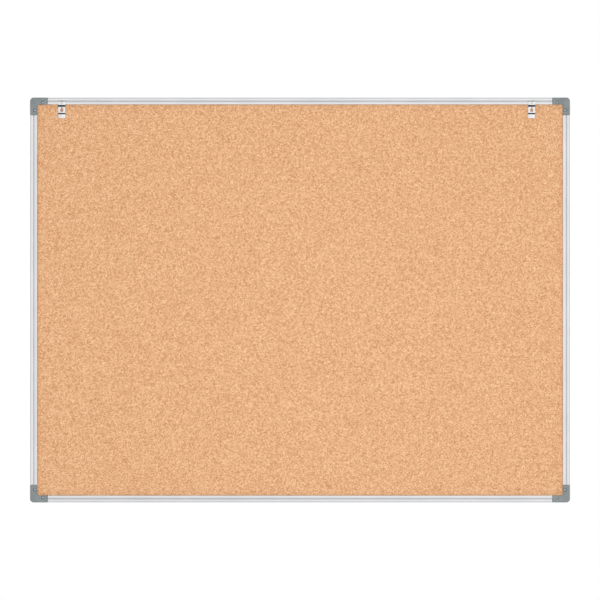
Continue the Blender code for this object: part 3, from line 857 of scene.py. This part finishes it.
select_only("EDGE", on_relief_mouth)
bpy.ops.mesh.bevel(offset=RELIEF_DRAWN_IN, segments=4, affect="EDGES")
bpy.ops.object.mode_set(mode="OBJECT")
rolled = hanger.modifiers.new("rolled_edges", "BEVEL")
rolled.width = ROLLED_EDGE
rolled.segments = 2
rolled.limit_method = "ANGLE"
rolled.angle_limit = math.radians(50)
bpy.ops.object.modifier_apply(modifier="rolled_edges")

# Nickel-plated strip steel: near white where it faces the room and near black where it slopes, with
# faint rolling marks down its length.
nickel, tree, shader, place = blank_material("nickel_plated_strip_steel")
haze = add(tree, "TexNoise", {"Vector": place, "Scale": 1 / (3.0 * MM), "Detail": 4.0})
brush = add(tree, "Mapping", {"Vector": place, "Scale": (1, 1, 0.05)})
rub = add(tree, "TexNoise", {"Vector": brush.outputs[0], "Scale": 1 / (0.6 * MM), "Detail": 3.0})
shade = add(tree, "Mix", {0: 0.5, 2: haze.outputs["Fac"], 3: rub.outputs["Fac"]}, data_type="FLOAT")
spread = add(tree, "MapRange", {"Value": shade.outputs[0], "From Min": 0.35, "From Max": 0.65})
mix = add(
    tree, "Mix", {0: spread.outputs[0], 6: colour("#DFE0E0"), 7: colour("#F6F6F5")}, data_type="RGBA"
)
rough = add(tree, "MapRange", {"Value": spread.outputs[0], "To Min": 0.12, "To Max": 0.24})
tree.links.new(mix.outputs[2], shader.inputs["Base Color"])
tree.links.new(rough.outputs[0], shader.inputs["Roughness"])
shader.inputs["Metallic"].default_value = 1.0
for side in ("left", "right"):
    node = f"hanger_clip_{side}"
    made = copy_of(hanger, f"{side}_keyhole_hanger")
    turn_about_y(made, 0, (centre_of(node).x, 0, 0))
    smooth_by_angle(made, 35)
    stand_for(made, node, f"{side}_hanger", nickel)
bpy.data.objects.remove(hanger, do_unlink=True)


# Studio. A pale floor well below the board, an even white surround, and two large soft lamps in
# front of it, the stronger one just right of the middle. The camera looks straight at the cork face.

scene = bpy.context.scene
scene.view_settings.view_transform = "Standard"

FLOOR_RADIUS = 2.6
FLOOR_LEVEL = -1.3
bpy.ops.mesh.primitive_circle_add(
    vertices=96, radius=FLOOR_RADIUS, fill_type="NGON", location=(0, 0, FLOOR_LEVEL)
)
floor = bpy.context.object
floor.name = floor.data.name = "studio_floor"
made, tree, shader, place = blank_material("pale_floor")
speckle = add(tree, "TexNoise", {"Vector": place, "Scale": 1 / 0.02, "Detail": 3.0})
mix = add(
    tree, "Mix", {0: speckle.outputs["Fac"], 6: colour("#DFDFDD"), 7: colour("#E8E8E6")}, data_type="RGBA"
)
tree.links.new(mix.outputs[2], shader.inputs["Base Color"])
shader.inputs["Roughness"].default_value = 0.9
dress(floor, made)
floor.visible_glossy = False

# The surround is white to the eye and even as a light, but polished metal sees it dark overhead,
# underfoot and far out at the sides, as it sees the unlit parts of a studio.
SOFT_FILL = 0.62
BRIGHT_SURROUND = 1.03
world = bpy.data.worlds.new("studio")
scene.world = world
world.use_nodes = True
tree = world.node_tree
tree.nodes.clear()
path = add(tree, "LightPath")
ray = add(tree, "TexCoord")
split = add(tree, "SeparateXYZ", {"Vector": ray.outputs["Generated"]})
bands = []
for axis, start, finish, dark in (("Z", 0.38, 0.62, 0.02), ("X", 0.5, 0.78, 0.03)):
    away = add(tree, "Math", {0: split.outputs[axis]}, operation="ABSOLUTE")
    bands.append(
        add(
            tree,
            "MapRange",
            {
                "Value": away.outputs[0],
                "From Min": start,
                "From Max": finish,
                "To Min": BRIGHT_SURROUND,
                "To Max": dark,
            },
            interpolation_type="SMOOTHSTEP",
        ).outputs[0]
    )
sides = add(
    tree, "MapRange", {"Value": split.outputs["X"], "From Min": -0.25, "From Max": 0.05, "To Min": 0.85}
)
band = add(tree, "Math", {0: bands[0], 1: bands[1]}, operation="MULTIPLY")
band = add(tree, "Math", {0: band.outputs[0], 1: sides.outputs[0]}, operation="MULTIPLY")
seen = add(
    tree, "Mix", {0: path.outputs["Is Glossy Ray"], 2: SOFT_FILL, 3: band.outputs[0]}, data_type="FLOAT"
)
backdrop = add(
    tree, "Mix", {0: path.outputs["Is Camera Ray"], 2: seen.outputs[0], 3: 1.0}, data_type="FLOAT"
)
light = add(tree, "Background", {"Color": (1, 1, 1, 1), "Strength": backdrop.outputs[0]})
add(tree, "OutputWorld", {"Surface": light.outputs[0]})


def softbox(name, place, aim, size, power):
    """A square soft lamp facing a point."""
    lamp = bpy.data.lights.new(name, "AREA")
    lamp.size = size
    lamp.energy = power
    made = bpy.data.objects.new(name, lamp)
    made.location = place
    made.rotation_euler = (Vector(aim) - Vector(place)).to_track_quat("-Z", "Y").to_euler()
    made.visible_glossy = False
    scene.collection.objects.link(made)


softbox("key_right", (0.45, -2.8, -0.1), (0.1, 0, -0.05), 0.9, 33)
softbox("fill_left", (-2.2, -2.6, 0.3), (0, 0, 0), 1.6, 10)

SHARE_OF_VIEW = 0.9
STAND_OFF = 4.0
lens = bpy.data.cameras.new("camera")
lens.sensor_width = 36
lens.lens = lens.sensor_width * STAND_OFF * SHARE_OF_VIEW / (cad_box[1][0] - cad_box[0][0])
lens.clip_start, lens.clip_end = 0.05, 60
camera = bpy.data.objects.new("camera", lens)
camera.location = (0, cad_box[0][1] - STAND_OFF, 0)
camera.rotation_euler = (math.pi / 2, 0, 0)
scene.collection.objects.link(camera)
scene.camera = camera
